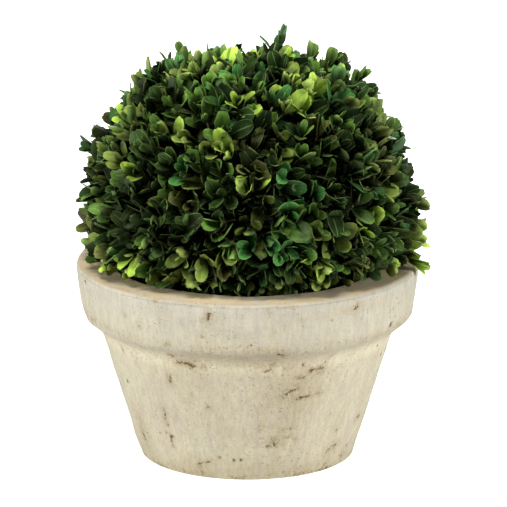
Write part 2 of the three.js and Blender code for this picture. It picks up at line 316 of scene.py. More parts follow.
class Finish:
    """A new material with a Principled shader, and the object's own coordinates to paint it by."""

    def __init__(self, name, **constants):
        self.material = bpy.data.materials.new(name)
        self.material.use_nodes = True
        self.tree = self.material.node_tree
        self.shader = self.tree.nodes["Principled BSDF"]
        for socket, value in constants.items():
            self.shader.inputs[socket.replace("_", " ")].default_value = value
        self.places = Wire(self.tree, self.tree.nodes.new("ShaderNodeTexCoord").outputs["Object"])

    def colour(self, value):
        plain = {MIX_SHARE: 0.0, MIX_FIRST: opaque(value)}
        return self.places.node("Mix", plain, MIXED, data_type="RGBA")

    def height(self):
        return self.places.node("SeparateXYZ", {0: self.places}, "Z")

    def mask(self, name):
        """A value from 0 to 1 that the mesh carries at each point."""
        return self.places.node("Attribute", {}, "Fac", attribute_name=name)

    def set(self, socket, wire):
        self.tree.links.new(wire.socket, self.shader.inputs[socket])

    def bump(self, height, distance, strength=1.0):
        values = {"Height": height, "Distance": distance, "Strength": strength}
        self.set("Normal", self.places.node("Bump", values))


# Chance and waves

# An uneven surface: how many waves it sums, their lengths for bumps of size 1, and its usual height.
WAVE_COUNT = 24
WAVE_LENGTHS = (1.4, 3.2)
WAVE_HEIGHT = 1.6


def seeded_random(seed):
    """The same numbers between 0 and 1 on every run, and the same as the solids are grown from."""
    whole = 0xFFFFFFFF
    state = seed & whole
    while True:
        state = (state + 0x6D2B79F5) & whole
        mixed = ((state ^ (state >> 15)) * (1 | state)) & whole
        mixed = ((mixed + (((mixed ^ (mixed >> 7)) * (61 | mixed)) & whole)) & whole) ^ mixed
        yield ((mixed ^ (mixed >> 14)) & whole) / (whole + 1)


def waves(places, size, seed):
    """Smooth unevenness between about -1 and 1 at each place, with bumps of about the given size."""
    chance = np.random.default_rng(seed)
    directions = unit(chance.normal(size=(WAVE_COUNT, 3)))
    turns = math.tau / (size * chance.uniform(*WAVE_LENGTHS, WAVE_COUNT))
    phases = chance.uniform(0, math.tau, WAVE_COUNT)
    heights = np.sin(places @ (directions * turns[:, None]).T + phases)
    return heights.sum(axis=1) * math.sqrt(2 / WAVE_COUNT) / WAVE_HEIGHT


def unit(vectors):
    return vectors / np.linalg.norm(vectors, axis=-1, keepdims=True)


def towards(turn, rise):
    """The direction at a turn round the axis and a rise above level, both in degrees."""
    turn, rise = np.radians(turn), np.radians(rise)
    return np.stack([np.cos(rise) * np.cos(turn), np.cos(rise) * np.sin(turn), np.sin(rise)], axis=-1)


def from_axis(places):
    return np.hypot(places[..., 0], places[..., 1])


def peak(offset, width):
    """1 where the offset is 0, falling softly to nothing at about twice the width."""
    return np.exp(-((offset / width) ** 2))


# Meshes


def add_piece(name, places, faces, materials, replaces, face_materials=0, masks=None):
    """Makes a smooth mesh object from arrays, attaches it to the body and hides the solids that it replaces.
    """
    mesh = bpy.data.meshes.new(name)
    mesh.vertices.add(len(places))
    mesh.vertices.foreach_set("co", np.asarray(places, dtype=np.float32).ravel())
    corners = np.concatenate([np.asarray(group, dtype=np.int32).ravel() for group in faces])
    sizes = np.concatenate([np.full(len(group), group.shape[1], dtype=np.int32) for group in faces])
    mesh.loops.add(len(corners))
    mesh.loops.foreach_set("vertex_index", corners)
    mesh.polygons.add(len(sizes))
    mesh.polygons.foreach_set("loop_start", (np.cumsum(sizes) - sizes).astype(np.int32))
    mesh.polygons.foreach_set("use_smooth", np.ones(len(sizes), dtype=bool))
    for material in materials:
        mesh.materials.append(material)
    mesh.polygons.foreach_set("material_index", np.full(len(sizes), face_materials, dtype=np.int32))
    for mask, values in (masks or {}).items():
        layer = mesh.attributes.new(mask, "FLOAT", "POINT")
        layer.data.foreach_set("value", np.asarray(values, dtype=np.float32))
    mesh.update(calc_edges=True)
    if mesh.validate():
        raise RuntimeError(f"{name} has faulty faces")
    piece = bpy.data.objects.new(name, mesh)
    bpy.context.scene.collection.objects.link(piece)
    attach(piece, BODY)
    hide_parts(*replaces)


def finer(profile, step):
    """A line through the given points with a point at least every step."""
    line = [np.array(profile[0])]
    for start, end in zip(profile, profile[1:]):
        start, end = np.array(start), np.array(end)
        count = max(1, math.ceil(np.linalg.norm(end - start) / step))
        line += [start + (end - start) * k / count for k in range(1, count + 1)]
    return np.array(line)


def ring_quads(firsts, sides):
    """Quads from each ring of points to the one after it, by the numbers of the rings' first points."""
    rows = np.reshape(firsts, (-1, 1))
    columns = np.arange(sides)
    after = (columns + 1) % sides
    corners = [rows + columns, rows + after, rows + sides + after, rows + sides + columns]
    return np.stack(corners, axis=2).reshape(-1, 4)


def turned(profile, sides):
    """Places and quads of a profile of (radius, height) points turned about the axis."""
    angles = np.arange(sides) * math.tau / sides
    radius, height = profile.T[..., None]
    places = np.stack([radius * np.cos(angles), radius * np.sin(angles), height + 0 * angles], axis=2)
    return places.reshape(-1, 3), ring_quads(np.arange(len(profile) - 1) * sides, sides)


def round_corner(radius, height, size, start, end):
    """Points on the arc that rounds a corner, its angles in degrees."""
    angles = np.radians(np.linspace(start, end, CORNER_POINTS))
    return [(radius + size * math.cos(a), height + size * math.sin(a)) for a in angles]


def outer_wall():
    """The outside of the pot up to the top of the lip, with the band's swell softened to a curve."""
    band_foot = round_corner(*BAND_FOOT_CENTRE, BAND_FOOT_ROUND, -48, -5)
    lip = round_corner(BAND_TOP_RADIUS - LIP_ROUND, POT_HEIGHT - LIP_ROUND, LIP_ROUND, 0, 90)
    low, swell, high = np.array([band_foot[-1], BAND_SWELL, lip[0]])
    curve = np.linspace(0, 1, BAND_POINTS)[1:-1]
    band = [(1 - t) ** 2 * low + 2 * t * (1 - t) * swell + t**2 * high for t in curve]
    return [
        *round_corner(FOOT_RADIUS - FOOT_ROUND, FOOT_ROUND, FOOT_ROUND, -90, 0),
        *round_corner(*SHOULDER_CENTRE, SHOULDER_ROUND, 162, 132),
        *band_foot,
        *[tuple(point) for point in band],
        *lip,
    ]


OUTER_WALL = outer_wall()


def radius_at(height, wall):
    """The radius of a wall, given upwards as points of radius and height."""
    radii, heights = np.array(wall).T
    return np.interp(height, heights, radii)


def helper(along):
    """A fixed direction that isn't parallel to each given one."""
    return np.where(np.abs(along[..., 2:3]) < 0.9, [0.0, 0.0, 1.0], [1.0, 0.0, 0.0])


def tubes(paths, radii, sides):
    """Places, quads and far ends of round limbs: paths is (limbs, points, 3), and radii has one a point."""
    along = unit(np.gradient(paths, axis=1))
    across = unit(np.cross(along, helper(along[:, :1])))
    other = np.cross(along, across)
    angles = np.arange(sides) * math.tau / sides
    ring = across[:, :, None] * np.cos(angles)[:, None] + other[:, :, None] * np.sin(angles)[:, None]
    places = paths[:, :, None] + ring * radii[:, None, None]
    limbs, points = paths.shape[:2]
    firsts = np.arange(limbs * points).reshape(limbs, points) * sides
    ends = firsts[:, -1:] + np.arange(sides)
    return places.reshape(-1, 3), ring_quads(firsts[:, :-1], sides), ends


# How the shrub grows


def directions_over(chance, count, jitter):
    """Directions spread evenly over the ball above its underside, each turned a little by chance."""
    height = 1 - (np.arange(count) + 0.5) / count * (1 - LOWEST_TWIG)
    turn = np.arange(count) * GOLDEN_TURN
    level = np.sqrt(1 - height**2)
    even = np.stack([level * np.cos(turn), level * np.sin(turn), height], axis=1)
    draws = np.array([next(chance) for _ in range(3 * count)]).reshape(count, 3)
    return unit(even + jitter * (2 * draws - 1))


def reach_along(directions):
    """How far foliage may stand from the ball's centre: to the outline, the lip, the mouth or the soil."""
    x, y, z = directions.T
    lump = np.sin(5 * x + 2) * np.sin(4 * y + 1) * np.cos(4 * z)
    lowness = np.clip(-z / SIDE_SPREAD_FROM, 0, 1)
    highness = np.clip((z - CROWN_FROM) / (1 - CROWN_FROM), 0, 1)
    spread = (SIDE_SPREAD * lowness + SHOULDER_SPREAD * peak(z - SHOULDER_RISE, SHOULDER_WIDTH)) * x**2
    outline = BALL_RADIUS + BALL_LUMP * lump + spread - CROWN_DROP * highness
    fall = np.maximum(-z, 1e-6)
    to_lip = (BALL_CENTRE[2] - POT_HEIGHT - POT_CLEARANCE) / fall
    to_wall = (MOUTH_RADIUS - LIP_ROUND) / np.hypot(x, y)
    to_soil = (BALL_CENTRE[2] - SOIL_TOP - POT_CLEARANCE) / fall
    low = np.maximum(to_lip, np.minimum(to_wall, to_soil))
    return np.where(z < 0, np.minimum(outline, low), outline)


def nearest(ends, places):
    """For each place, the end that lies nearest."""
    return ends[np.argmin(np.linalg.norm(places[:, None] - ends, axis=2), axis=1)]


class Skeleton:
    """The shrub's wood: fork, boughs, twigs and sprigs. It grows the same each time."""

    def __init__(self, shrub):
        chance = seeded_random(SEED)
        self.fork = np.array([BALL_CENTRE[0], 0.0, FORK_HEIGHT])
        bough_ways = directions_over(chance, BOUGH_COUNT, TWIG_JITTER)
        self.bough_ends = BALL_CENTRE + bough_ways * BOUGH_REACH * BALL_RADIUS
        twig_ways = directions_over(chance, TWIG_COUNT, TWIG_JITTER)
        twig_reach = reach_along(twig_ways)
        self.twig_starts = nearest(self.bough_ends, BALL_CENTRE + twig_ways * BALL_RADIUS)
        self.twig_ends = BALL_CENTRE + twig_ways * (TWIG_REACH * twig_reach)[:, None]
        even = directions_over(chance, shrub.sprig_count, TWIG_JITTER / 2)
        short = np.array([shrub.roughness * next(chance) ** SHORTFALL_POWER for _ in even])
        short *= np.interp(even[:, 2], *LOW_SHORTFALL)
        turn, rise, reach = np.array(STRAYS).T
        self.ways = np.concatenate([even, towards(turn, rise)])
        self.reach = np.concatenate([reach_along(even) - short, reach * MM])
        self.is_stray = np.arange(len(self.ways)) >= len(even)
        _, opening, length = PAIRS[0]
        last = length * MM * math.cos(math.radians(opening))
        self.tips = BALL_CENTRE + self.ways * (self.reach - last)[:, None]
        self.sprig_starts = nearest(self.twig_ends, self.tips)


def limbs(starts, ends, radii, sag, points, sides, seed):
    """Slightly bent limbs between two sets of places, tapering from the first radius to the second."""
    share = np.linspace(0, 1, points)[None, :, None]
    bend = np.random.default_rng(seed).normal(size=starts.shape) * sag
    bow = 4 * share * (1 - share)
    paths = starts[:, None] * (1 - share) + ends[:, None] * share + bend[:, None] * bow
    return tubes(paths, np.linspace(*radii, points), sides)


def is_blocked(places):
    """True where a place lies in the pot's wall or the soil, or too near the lip in front or behind."""
    away, height = from_axis(places), places[..., 2]
    inside, outside = radius_at(height, INNER_WALL), radius_at(height, OUTER_WALL)
    in_wall = (away > inside - LEAF_GAP) & (away < outside + LEAF_GAP)
    in_front = (places[..., 1] / away) ** 2
    below_lip = height < POT_HEIGHT + LEAF_GAP + LIP_GAP * in_front
    in_soil = (height < SOIL_TOP + LEAF_GAP) & (away < outside)
    return (in_wall & below_lip) | in_soil


class Leaves:
    """All leaves as arrays: roots, three directions each, sizes and bends, and the sprig that bears them."""

    def __init__(self, wood, leaf_ratio):
        chance = np.random.default_rng(SEED)
        count = len(wood.tips)
        lean = chance.normal(0, SPRIG_LEAN, (count, 3))
        lean[:, 2] += np.interp(wood.ways[:, 2], *SPRIG_RISE)
        along = unit(unit(wood.tips - wood.sprig_starts) + wood.ways + lean)
        side = unit(np.cross(along, helper(along)))
        other = np.cross(along, side)
        each = (count, 1)
        turn = chance.uniform(0, math.tau, each)
        closed = np.where(wood.is_stray, STRAY_CLOSED, 1.0)[:, None]
        parts = []
        for pair, half in np.ndindex(len(PAIRS), 2):
            below, opening, length = PAIRS[pair]
            angle = turn + half * math.pi + pair * math.pi / 2 + chance.normal(0, LEAF_TURN, each)
            outward = side * np.cos(angle) + other * np.sin(angle)
            spread = np.radians(opening + chance.normal(0, LEAF_OPENING, each)) * closed
            way = unit(along * np.cos(spread) + outward * np.sin(spread))
            flat = unit(np.cross(along, way))
            normal = np.cross(way, flat)
            roll = chance.normal(0, LEAF_ROLL, each)
            across = flat * np.cos(roll) + normal * np.sin(roll)
            face = normal * np.cos(roll) - flat * np.sin(roll)
            root = wood.tips - along * (below * MM + chance.uniform(-1, 1, each) * LEAF_SLIDE)
            offset = root - BALL_CENTRE
            inward = np.einsum("ij,ij->i", offset, way)
            room = np.sqrt(inward**2 + wood.reach**2 - np.einsum("ij,ij->i", offset, offset)) - inward
            room = room + chance.uniform(*LEAF_OVERSHOOT, count) * MM
            shortened = np.where(wood.is_stray & (pair > 0), STRAY_SHORTENED, 1.0)
            full_length = length * MM * shortened * np.exp(chance.normal(0, LENGTH_SPREAD, count))
            size = np.minimum(full_length, room)
            parts.append((root, way, across, face, size, np.arange(count), np.full(count, pair)))
        columns = [np.concatenate(column) for column in zip(*parts)]
        self.root, self.way, self.across, self.face, self.size, self.sprig, self.pair = columns
        total = len(self.size)
        self.bend = chance.normal(*LEAF_BEND, total)
        self.fold = chance.normal(*LEAF_FOLD, total)
        self.width = self.size * leaf_ratio * np.exp(chance.normal(0, WIDTH_SPREAD, total))
        self.reach = wood.reach[self.sprig]
        self.keep(self.size > SHORTEST_LEAF)
        tests = self.surface()[:, ::2, [0, 2, 5]]
        self.keep(~is_blocked(tests).any(axis=(1, 2)))

    def keep(self, wanted):
        """Drops the leaves that aren't wanted."""
        for name, values in list(vars(self).items()):
            setattr(self, name, values[wanted])

    def surface(self):
        """The upper face of every leaf, as (leaves, stations, places across, 3)."""
        station, share = np.array(LEAF_STATIONS).T[..., None]
        place = np.array(LEAF_PLACES)
        size, fold, bend = (values[:, None, None] for values in (self.size, self.fold, self.bend))
        half = self.width[:, None, None] / 2 * share
        notch = TIP_NOTCH * (station > 0.9) * (np.abs(place) < 0.5)
        along = size * station - size * notch
        sideways = half * place
        lift = fold * np.abs(sideways) - MARGIN_DROP * half * (np.abs(place) > 0.9)
        lift = lift - bend * size * station**2
        surface = self.root[:, None, None]
        for way, steps in ((self.way, along), (self.across, sideways), (self.face, lift)):
            surface = surface + way[:, None, None] * steps[..., None]
        return surface

    def part(self, chosen, used, first):
        """Places, quads, material numbers, and masks of the chosen leaves, made with the stations in use."""
        upper = self.surface()[chosen][:, used]
        middle = upper[:, :, [2, 3]].mean(axis=2, keepdims=True)
        lower = middle - self.face[chosen][:, None, None] * LEAF_THICKNESS
        places = np.concatenate([upper, lower], axis=2)
        leaves, stations, across = places.shape[:3]
        rows = (np.arange(leaves)[:, None] * stations + np.arange(stations - 1)).reshape(-1) * across + first
        left, right, number = np.array(LEAF_STRIPS).T[..., None]
        quads = np.stack([rows + left, rows + across + left, rows + across + right, rows + right], axis=2)
        numbers = np.repeat(number, len(rows))
        # Share along each leaf and depth below the outline: the leaf materials darken towards the stalk,
        # partly own colour and partly painted shade, and paint shade deep in the ball.
        along = np.broadcast_to(np.array(LEAF_STATIONS)[used, :1], places.shape[:3])
        below = self.reach[chosen][:, None, None] - np.linalg.norm(places - BALL_CENTRE, axis=3)
        depth = np.clip(below / SHADE_DEPTH, 0, 1)
        return places.reshape(-1, 3), quads.reshape(-1, 4), numbers, along.ravel(), depth.ravel()

    def mesh(self, chosen):
        """The same for all the chosen leaves, those deep inside made with fewer stations."""
        near = self.pair[chosen] < NEAR_PAIRS
        whole = self.part(chosen[near], ALL_STATIONS, 0)
        plain = self.part(chosen[~near], PLAIN_STATIONS, len(whole[0]))
        return [np.concatenate(values) for values in zip(whole, plain)]


# Materials


def wash_finish(pot):
    """Limewash brushed over clay: cream, streaked up and down, tanner at the foot, speckled and pitted, with
    painted light just under the band and painted shade on the lip's outer edge.
    """
    finish = Finish("worn_limewash", Roughness=0.92, Specular_IOR_Level=0.2)
    places, height = finish.places, finish.height()
    wear, halo, lip = finish.mask("wear"), finish.mask("halo"), finish.mask("lip")
    clouds = places.noise(16, 4, 0.55).between(0.38, 0.66)
    streaks = places.drawn_up(0.06).noise(190, 4, 0.65)
    fine_streaks = places.drawn_up(0.15).noise(520, 3, 0.6)
    broad = places.drawn_up(0.1).noise(70, 3, 0.6)
    blotches = places.drawn_up(0.7).noise(30, 5, 0.62)
    grain = places.noise(420, 4, 0.7)
    speckle = places.noise(1000, 3, 0.7)
    brush = streaks.between(0.36, 0.64)
    foot = 1 - height.between(0, 24 * MM)
    # Painted light: the wash is made lighter just under the band, where the band's shadow falls.
    under_band_light = height.between(73 * MM, 80 * MM) * (1 - height.between(84 * MM, 90 * MM))
    band = height.between(84 * MM, 94 * MM)
    band_top = height.between(104 * MM, 118 * MM)
    thin = clouds * 0.3 + brush * 0.2 + broad.between(0.4, 0.62) * 0.4
    colour = finish.colour(pot.wash).mix(pot.wash_shade, thin)
    colour = colour.mix(pot.blush, (1 - broad.between(0.34, 0.46)) * 0.5)
    colour = colour.mix(pot.stain, foot * (brush * 0.35 + 0.15))
    colour = colour.mix(pot.blush, blotches.between(0.52, 0.70) * (0.6 - band * 0.3))
    colour = colour.mix(pot.chalk, band * 0.35 + band_top * 0.4)
    colour = colour.mix(pot.stain, halo * (grain * 3.2 - 0.9))
    colour = colour.times(streaks * 0.35 + fine_streaks * 0.4 + 0.63).times(speckle * 0.5 + 0.75)
    colour = colour.mix(pot.stain, grain.between(0.56, 0.72) * 0.45)
    sand = lip * (places.noise(70, 3, 0.6).between(0.3, 0.6) * 0.5 + 0.4)
    colour = colour.mix(pot.lip, sand + lip * (grain * 0.5 - 0.2))
    # Painted light under the band, and painted shade on the lip's rounded outer edge, which the light from
    # above catches.
    colour = colour.times(1 + under_band_light * 0.13 - finish.mask("edge") * 0.35)
    dots = 1 - (places.cells(360) + speckle * 0.5).between(0.32, 0.5)
    specks = dots * places.noise(38, 2, 0.5).between(0.44, 0.62)
    colour = colour.mix(pot.clay, specks * 0.5)
    broken = wear + halo * 0.3 + grain * 2.6 + speckle * 2.6 - 3.1
    colour = colour.mix(pot.clay, broken.between(0, 0.65) * halo.between(0.02, 0.3) * 0.9)
    finish.set("Base Color", colour)
    finish.bump(streaks * 0.6 + grain * 0.5 + speckle * 0.35 + blotches * 0.7 - specks * 0.4, 0.5 * MM, 0.75)
    return finish.material


def soil_finish(shrub):
    """Dark crumbly potting soil with a few pale grains."""
    finish = Finish("potting_soil", Roughness=0.95, Specular_IOR_Level=0.2)
    crumbs = finish.places.noise(260, 5, 0.7)
    grains = 1 - finish.places.cells(330).between(0.08, 0.16)
    colour = finish.colour(shrub.soil).times(crumbs * 1.4 + 0.3)
    finish.set("Base Color", colour.mix(shrub.grain, grains * 0.5))
    finish.bump(crumbs + finish.places.cells(400) * 0.5, 1.2 * MM)
    return finish.material


def wood_finish(name, colour, grain):
    """Bark with a lengthwise grain and paler flakes."""
    finish = Finish(name, Roughness=0.8, Specular_IOR_Level=0.3)
    ridges = finish.places.drawn_up(0.3).noise(grain, 5, 0.65)
    flakes = finish.places.noise(grain * 0.4, 3).between(0.5, 0.7)
    shade = finish.colour(colour).times(ridges * 1.1 + 0.4)
    finish.set("Base Color", shade.mix([min(1, 1.7 * value) for value in colour], flakes * 0.4))
    finish.bump(ridges, 0.8 * MM)
    return finish.material


# The light that glances off a leaf is tinted by its waxy green skin.
LEAF_SHEEN = (0.85, 1.0, 0.7, 1.0)


def blade_finish(name, colour, roughness, sheen, vein_depth):
    """Leathery and uneven from leaf to leaf; darker near the stalk, partly the leaf's own colour and partly
    painted shade, with painted shade deep in the ball and painted light on the crown.
    """
    finish = Finish(name, Roughness=roughness, Specular_IOR_Level=sheen, Specular_Tint=LEAF_SHEEN)
    leaf_to_leaf = finish.places.noise(62, 2, 0.5)
    mottle = finish.places.noise(480, 4, 0.65)
    shade = finish.colour(colour).times(leaf_to_leaf.between(0.32, 0.68) * 0.95 + mottle * 0.7 - 0.05)
    # Darker towards the stalk, partly the leaf's own colour and partly painted shade, and painted shade deep
    # in the ball.
    shade = shade.times((finish.mask("along") * 0.9 + 0.4) * (1.25 - finish.mask("depth") * 1.05))
    # Painted light on the crown, where the light from above falls; the leaves near the foot are made lighter
    # too.
    above_foot = finish.height().between(130 * MM, 168 * MM)
    crown_light = finish.height().between(200 * MM, 262 * MM)
    shade = shade.times(1.45 - above_foot * 0.42 + crown_light * 0.44)
    finish.set("Base Color", shade)
    finish.bump(finish.places.noise(700, 3, 0.6), 0.3 * MM, vein_depth)
    return finish.material


# The greens of the shrub: upper face, underside, chance in each spray, and how it leans to the right and up.
# Leaning up puts paler greens at the top, partly newer growth and partly painted light from above.
GREENS = {
    "old_shaded_green": ((0.012, 0.028, 0.006), (0.028, 0.046, 0.013), 0.06, (0.0, -0.6)),
    "shade_green": ((0.020, 0.033, 0.008), (0.036, 0.050, 0.016), 0.04, (0.0, -0.6)),
    "deep_green": ((0.033, 0.068, 0.012), (0.066, 0.110, 0.027), 0.26, (-0.25, -0.8)),
    "mid_green": ((0.076, 0.158, 0.021), (0.116, 0.187, 0.042), 0.27, (0.1, 0.4)),
    "blue_green": ((0.036, 0.130, 0.027), (0.074, 0.157, 0.044), 0.11, (0.1, 0.5)),
    "olive_green": ((0.154, 0.205, 0.034), (0.170, 0.215, 0.050), 0.19, (-0.4, -0.4)),
    "brown_olive": ((0.085, 0.088, 0.020), (0.115, 0.120, 0.032), 0.055, (-0.3, -1.2)),
    "yellow_green": ((0.290, 0.420, 0.052), (0.295, 0.390, 0.086), 0.055, (0.0, 0.7)),
}
# How many of the greens, from the first, are for old leaves deep in the ball, darker partly with age and
# partly as painted shade, and how many leaves of each pair get them.
OLD_SHADED_GREENS = 2
OLD_SHADED_SHARES = [0.0, 0.18, 0.7, 0.95, 1.0, 1.0]
# What a leaf's green is mixed with on its margin and midrib.
PALE_GREEN = (0.30, 0.36, 0.13)

# Sprays of one green that stand out in the photograph: turn, rise and spread in degrees, and the green.
SPRAYS = [
    (-49, 58, 11, "yellow_green"), (-131, 51, 14, "mid_green"), (-21, 26, 6, "olive_green"),
    (-74, 14, 6, "blue_green"), (-85, -7, 8, "blue_green"), (-97, 4, 6, "mid_green"),
    (-90, 28, 8, "brown_olive"), (-66, 34, 6, "mid_green"), (-5, -9, 7, "yellow_green"),
    (-20, -18, 12, "yellow_green"), (-140, -19, 10, "yellow_green"),
]


def greens_by_sprig(wood, chance):
    """Which green each sprig has: by chance, more of some to the right or higher up, paler ones higher up
    partly as painted light, or by its spray.
    """
    x, _, z = wood.ways.T
    weights = [share * np.exp(right * x + up * z) for _, _, share, (right, up) in GREENS.values()]
    totals = np.cumsum(weights, axis=0)
    draw = chance.uniform(0, 1, len(wood.ways)) * totals[-1]
    green = (draw[None] > totals).sum(axis=0)
    for turn, rise, spread, name in SPRAYS:
        is_near = wood.ways @ towards(turn, rise) > math.cos(math.radians(spread))
        green[is_near] = list(GREENS).index(name)
    return green


# Wear on the pot

# Worn marks on the front: degrees from the front to the right, height, length, tilt in degrees, width and
# darkness. Lengths are in millimetres, and a mark with no length is a round pit.
MARKS = [
    (-12.7, 116.5, 3.3, 95, 1.6, 1), (-12.2, 113.5, 3.5, 110, 2.4, 0.3),
    (-39, 103.5, 0, 0, 1, 0.7), (-31, 122.5, 0, 0, 1, 0.7),
    (-28.7, 95, 2.4, 65, 0.8, 0.5), (-58.5, 79.5, 3, 110, 1, 0.7),
    (-40.5, 88, 0, 0, 1, 0.7), (-29, 86, 2, 0, 1.2, 0.8),
    (-26, 80.5, 4, 12, 1.7, 0.9), (-22.5, 80, 4.5, 165, 1.7, 1),
    (-20.5, 83, 3, 70, 1.6, 0.5), (-33, 68, 3, 95, 1.8, 0.8),
    (-16.5, 50.5, 2, 5, 1.1, 0.7), (-40.3, 39, 11, 91, 0.6, 0.9),
    (-40, 22.5, 9, 95, 0.6, 0.8), (-22.5, 10.5, 9, 23, 0.8, 0.9),
    (-24.5, 5, 3, 110, 2, 0.5), (-64, 17, 6, 75, 2.4, 0.55),
    (6.8, 119, 1.5, 150, 1, 0.6), (13.7, 121.5, 7.5, 176, 1, 0.35),
    (18.4, 111, 5.3, 114, 1.1, 0.35), (8.2, 105, 3, 65, 1.1, 0.4),
    (38.7, 116, 3.2, 45, 1.8, 0.8), (58.6, 108, 0, 0, 1.1, 0.6),
    (11.5, 91, 4.5, 175, 1, 0.9), (9.3, 81, 6.4, 66, 2.2, 0.5),
    (7.7, 77.5, 2.7, 30, 1, 0.8), (8.2, 72.5, 0, 0, 1, 0.6),
    (15.8, 78.5, 3.2, 7, 0.9, 0.6), (28, 75.5, 8.3, 6, 1.3, 0.9),
    (31.7, 82, 4.7, 67, 1.4, 0.5), (21.7, 71, 4.6, 10, 1, 0.8),
    (18.3, 62, 7.5, 35, 1.5, 0.8), (24, 57, 8, 12, 1.1, 0.85),
    (31.3, 58, 9.4, 8, 0.6, 0.5), (19, 35.5, 6.3, 28, 0.8, 0.45),
    (5.8, 38, 0, 0, 1.3, 0.7), (12.6, 26, 3.7, 125, 1.2, 0.9),
    (9.7, 24, 2.3, 38, 1.1, 0.7), (21, 28, 7, 167, 0.7, 0.4),
    (46, 14.5, 4.5, 30, 1.8, 0.7), (49, 16.5, 5, 5, 1.9, 0.6),
    (58.8, 6, 0, 0, 1.3, 0.9), (66, 30, 4, 11, 1.6, 0.8),
    (41, 41.5, 2.4, 22, 1.2, 0.4),
]

# Broad stains on the front: degrees from the front to the right, height, spread in degrees, reach up and
# down, and strength. Heights and reaches are in millimetres.
STAINS = [
    (-62, 26, 9, 16, 0.6), (-26, 81, 8, 3, 0.35), (24, 66, 11, 12, 0.25),
    (14, 30, 12, 9, 0.25), (52, 93, 26, 2, 0.45), (29, 77, 6, 3, 0.35),
    (-70, 98, 14, 3, 0.35), (170, 40, 20, 14, 0.35), (110, 24, 14, 12, 0.4),
    (5, 93.5, 13, 1.7, 0.55), (17, 55, 12, 22, 0.25), (0, 82, 20, 2.5, 0.3),
]


def front_angle(places):
    """Degrees from the front to the right."""
    return np.degrees(np.arctan2(places[:, 0], -places[:, 1]))


def scattered_pits(places, count):
    """Depth and wear of small pits scattered over the outside."""
    chance = np.random.default_rng(7)
    depth, wear = np.zeros((2, len(places)))
    outside = np.flatnonzero(from_axis(places) > radius_at(places[:, 2], OUTER_WALL) - 2 * MM)
    for _ in range(count):
        angle = chance.uniform(0, math.tau)
        height = chance.uniform(4 * MM, POT_HEIGHT - 5 * MM)
        size = chance.uniform(0.6, 1.7) * MM
        radius = radius_at(height, OUTER_WALL)
        centre = np.array([radius * math.cos(angle), radius * math.sin(angle), height])
        near = outside[np.abs(places[outside, 2] - height) < 3 * size]
        stretch = [1, 1, chance.uniform(0.6, 1.2)]
        dip = peak(np.linalg.norm((places[near] - centre) * stretch, axis=1), size)
        depth[near] = np.maximum(depth[near], 0.35 * size * dip)
        wear[near] = np.maximum(wear[near], dip * chance.uniform(0.2, 1.0))
    return depth, wear


def front_marks(places):
    """Wear of the marks on the front, and the stained halo round them."""
    wear, halo = np.zeros((2, len(places)))
    away, angle, height = from_axis(places), front_angle(places), places[:, 2] / MM
    front = np.flatnonzero((away > radius_at(places[:, 2], OUTER_WALL) - 2 * MM) & (np.abs(angle) < 80))
    for turn, middle, length, tilt, width, darkness in MARKS:
        sideways = np.radians(angle[front] - turn) * away[front] / MM
        upright = height[front] - middle
        lean = math.radians(tilt)
        along = sideways * math.cos(lean) + upright * math.sin(lean)
        across = upright * math.cos(lean) - sideways * math.sin(lean) + 0.4 * np.sin(along / 1.7)
        distance = np.hypot(across, np.maximum(np.abs(along) - length / 2, 0))
        wear[front] = np.maximum(wear[front], darkness * peak(distance, 0.62 * width))
        halo[front] = np.maximum(halo[front], darkness * peak(distance, 1.6 * width + 0.6))
    return wear, halo


def stained(places):
    """Broad tan stains on the front, and rings of them at the foot and at the band's lower edge."""
    angle, height = front_angle(places), places[:, 2]
    foot = 0.5 * peak(height, 7 * MM)
    band_edge = 0.4 * peak(height - BAND_FOOT_CENTRE[1], 2.4 * MM)
    stain = (foot + band_edge) * (1 + 0.5 * waves(places, 16 * MM, 11))
    for turn, middle, spread, reach, strength in STAINS:
        stain = stain + strength * peak(angle - turn, spread) * peak(height / MM - middle, reach)
    return np.clip(stain, 0, 1) * (height < POT_HEIGHT - 4 * MM)


def worn_edges(places):
    """Wear in patches along the band's lower edge and the foot."""
    patches = np.clip(waves(places, 7 * MM, 9) * 0.5 + 0.1, 0, 1)
    edge = peak(places[:, 2] - BAND_FOOT_CENTRE[1] + 4 * MM, 1.5 * MM)
    foot = peak(places[:, 2] - 1 * MM, 2 * MM)
    return 0.6 * patches * np.maximum(edge * 0.6, foot)


def lip_masks(places):
    """Where the pot has the lip's sandy colour, and where its outer edge gets painted shade."""
    away, height = from_axis(places), places[:, 2]
    inward = (BAND_TOP_RADIUS - 0.3 * MM - away) / (2.5 * MM)
    topmost = (height - POT_HEIGHT + 1.7 * MM) / (1.2 * MM)
    sandy = np.clip(np.maximum(inward, topmost), 0, 1) * (height > POT_HEIGHT - 12 * MM)
    # Painted shade on the rounded outer edge of the lip, which the light from above catches.
    return sandy, peak(away - BAND_TOP_RADIUS + 1.4 * MM, 2 * MM) * (height > POT_HEIGHT - 3 * MM)


# Operators


